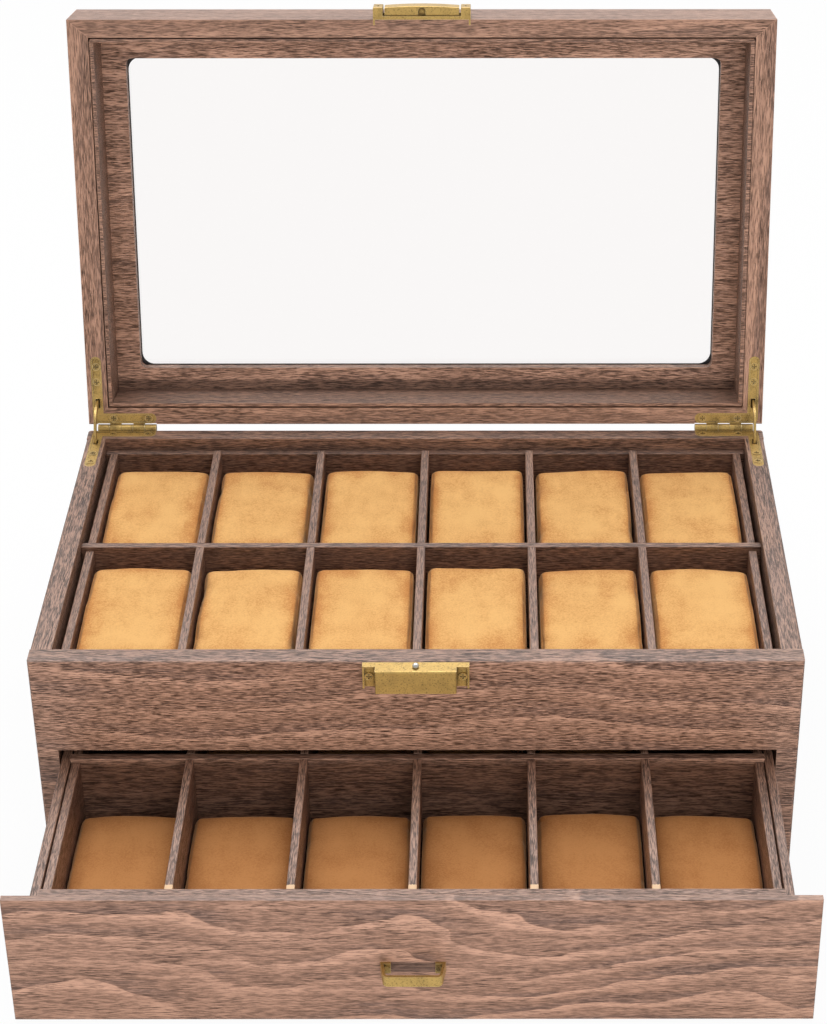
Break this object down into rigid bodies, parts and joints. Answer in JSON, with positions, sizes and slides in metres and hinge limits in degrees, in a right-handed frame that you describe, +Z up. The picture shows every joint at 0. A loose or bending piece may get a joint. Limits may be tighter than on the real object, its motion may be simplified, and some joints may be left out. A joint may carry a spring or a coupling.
{
  "type": "watch box with drawer",
  "caption": "Wood-grain watch box with a glass-window lid on stay hinges, a push latch, a divided tray of lift-out cushions and a pull-out drawer of the same cushions.",
  "frame": {"origin": "bottom centre of the case, on the surface that it stands on", "axes": "+X to the right, +Y from the drawer face towards the hinges, +Z up; the lid stands open and the drawer stands out by one row"},
  "size_m": [0.335, 0.3848, 0.3177],
  "materials": {
    "walnut_wrap": "satin wood-grain wrap",
    "walnut_dark": "dark satin wood grain",
    "suede": "soft tan suede",
    "antique_brass": "aged, bright at the edges",
    "steel": "polished",
    "clear_glass": "clear",
    "sealant": "matte black"
  },
  "bodies": {
    "case": {"case_front": "walnut_wrap", "case_left_side": "walnut_wrap", "case_right_side": "walnut_wrap", "case_back": "walnut_wrap", "case_bottom": "walnut_wrap", "tray_floor": "walnut_dark", "tray_side_strips": "walnut_dark", "tray_end_strips": "walnut_dark", "tray_mid_divider": "walnut_dark", "tray_dividers": "walnut_dark", "hinge_case_leaf_left": "antique_brass", "hinge_case_leaf_right": "antique_brass", "hinge_pins": "steel", "latch_base": "antique_brass", "latch_stud": "steel", "case_screws": "antique_brass"},
    "lid": {"lid_front_rail": "walnut_wrap", "lid_back_rail": "walnut_wrap", "lid_left_rail": "walnut_wrap", "lid_right_rail": "walnut_wrap", "lid_window_board": "walnut_wrap", "lid_glass_seal": "sealant", "lid_glass": "clear_glass", "lid_liner": "walnut_wrap", "hinge_lid_leaf_left": "antique_brass", "hinge_lid_leaf_right": "antique_brass", "latch_frame": "antique_brass", "lid_screws": "antique_brass"},
    "stays": {"lid_stays": "steel"},
    "latch_button": {"latch_button": "antique_brass"},
    "drawer": {"drawer_front": "walnut_wrap", "drawer_box_front": "walnut_wrap", "drawer_left_side": "walnut_wrap", "drawer_right_side": "walnut_wrap", "drawer_back": "walnut_wrap", "drawer_bottom": "walnut_dark", "drawer_side_strips": "walnut_dark", "drawer_mid_divider": "walnut_dark", "drawer_dividers": "walnut_dark", "drawer_handle": "antique_brass", "drawer_handle_rivets": "antique_brass", "drawer_cushions_rear": "suede"},
    "tray_cushion_1": {"tray_cushion_1": "suede"},
    "tray_cushion_2": {"tray_cushion_2": "suede"},
    "tray_cushion_3": {"tray_cushion_3": "suede"},
    "tray_cushion_4": {"tray_cushion_4": "suede"},
    "tray_cushion_5": {"tray_cushion_5": "suede"},
    "tray_cushion_6": {"tray_cushion_6": "suede"},
    "tray_cushion_7": {"tray_cushion_7": "suede"},
    "tray_cushion_8": {"tray_cushion_8": "suede"},
    "tray_cushion_9": {"tray_cushion_9": "suede"},
    "tray_cushion_10": {"tray_cushion_10": "suede"},
    "tray_cushion_11": {"tray_cushion_11": "suede"},
    "tray_cushion_12": {"tray_cushion_12": "suede"},
    "drawer_cushion_1": {"drawer_cushion_1": "suede"},
    "drawer_cushion_2": {"drawer_cushion_2": "suede"},
    "drawer_cushion_3": {"drawer_cushion_3": "suede"},
    "drawer_cushion_4": {"drawer_cushion_4": "suede"},
    "drawer_cushion_5": {"drawer_cushion_5": "suede"},
    "drawer_cushion_6": {"drawer_cushion_6": "suede"}
  },
  "joints": [
    {"name": "lid_hinge", "type": "hinge", "parent": "case", "child": "lid", "pos_m": [0, 0.10225, 0.114], "axis": [-1, 0, 0], "range_deg": [-101.7, 0]},
    {"name": "stay_swing", "type": "hinge", "parent": "case", "child": "stays", "pos_m": [0, 0.10225, 0.114], "axis": [-1, 0, 0], "range_deg": [-51.5, 0.5]},
    {"name": "latch_press", "type": "slide", "parent": "lid", "child": "latch_button", "axis": [0, -0.2028, -0.9792], "range_m": [0, 0.0014], "stiffness_N_per_m": 300, "springref_m": -0.003},
    {"name": "drawer_slide", "type": "slide", "parent": "case", "child": "drawer", "axis": [0, -1, 0], "range_m": [-0.0965, 0.0535]},
    {"name": "tray_cushion_1_lift", "type": "slide", "parent": "case", "child": "tray_cushion_1", "axis": [0, 0, 1], "range_m": [0, 0.06]},
    {"name": "tray_cushion_2_lift", "type": "slide", "parent": "case", "child": "tray_cushion_2", "axis": [0, 0, 1], "range_m": [0, 0.06]},
    {"name": "tray_cushion_3_lift", "type": "slide", "parent": "case", "child": "tray_cushion_3", "axis": [0, 0, 1], "range_m": [0, 0.06]},
    {"name": "tray_cushion_4_lift", "type": "slide", "parent": "case", "child": "tray_cushion_4", "axis": [0, 0, 1], "range_m": [0, 0.06]},
    {"name": "tray_cushion_5_lift", "type": "slide", "parent": "case", "child": "tray_cushion_5", "axis": [0, 0, 1], "range_m": [0, 0.06]},
    {"name": "tray_cushion_6_lift", "type": "slide", "parent": "case", "child": "tray_cushion_6", "axis": [0, 0, 1], "range_m": [0, 0.06]},
    {"name": "tray_cushion_7_lift", "type": "slide", "parent": "case", "child": "tray_cushion_7", "axis": [0, 0, 1], "range_m": [0, 0.06]},
    {"name": "tray_cushion_8_lift", "type": "slide", "parent": "case", "child": "tray_cushion_8", "axis": [0, 0, 1], "range_m": [0, 0.06]},
    {"name": "tray_cushion_9_lift", "type": "slide", "parent": "case", "child": "tray_cushion_9", "axis": [0, 0, 1], "range_m": [0, 0.06]},
    {"name": "tray_cushion_10_lift", "type": "slide", "parent": "case", "child": "tray_cushion_10", "axis": [0, 0, 1], "range_m": [0, 0.06]},
    {"name": "tray_cushion_11_lift", "type": "slide", "parent": "case", "child": "tray_cushion_11", "axis": [0, 0, 1], "range_m": [0, 0.06]},
    {"name": "tray_cushion_12_lift", "type": "slide", "parent": "case", "child": "tray_cushion_12", "axis": [0, 0, 1], "range_m": [0, 0.06]},
    {"name": "drawer_cushion_1_lift", "type": "slide", "parent": "drawer", "child": "drawer_cushion_1", "axis": [0, 0, 1], "range_m": [0, 0.06]},
    {"name": "drawer_cushion_2_lift", "type": "slide", "parent": "drawer", "child": "drawer_cushion_2", "axis": [0, 0, 1], "range_m": [0, 0.06]},
    {"name": "drawer_cushion_3_lift", "type": "slide", "parent": "drawer", "child": "drawer_cushion_3", "axis": [0, 0, 1], "range_m": [0, 0.06]},
    {"name": "drawer_cushion_4_lift", "type": "slide", "parent": "drawer", "child": "drawer_cushion_4", "axis": [0, 0, 1], "range_m": [0, 0.06]},
    {"name": "drawer_cushion_5_lift", "type": "slide", "parent": "drawer", "child": "drawer_cushion_5", "axis": [0, 0, 1], "range_m": [0, 0.06]},
    {"name": "drawer_cushion_6_lift", "type": "slide", "parent": "drawer", "child": "drawer_cushion_6", "axis": [0, 0, 1], "range_m": [0, 0.06]}
  ],
  "couplings": [
    {"joint": "stay_swing", "follows": "lid_hinge", "ratio": 0.5}
  ]
}
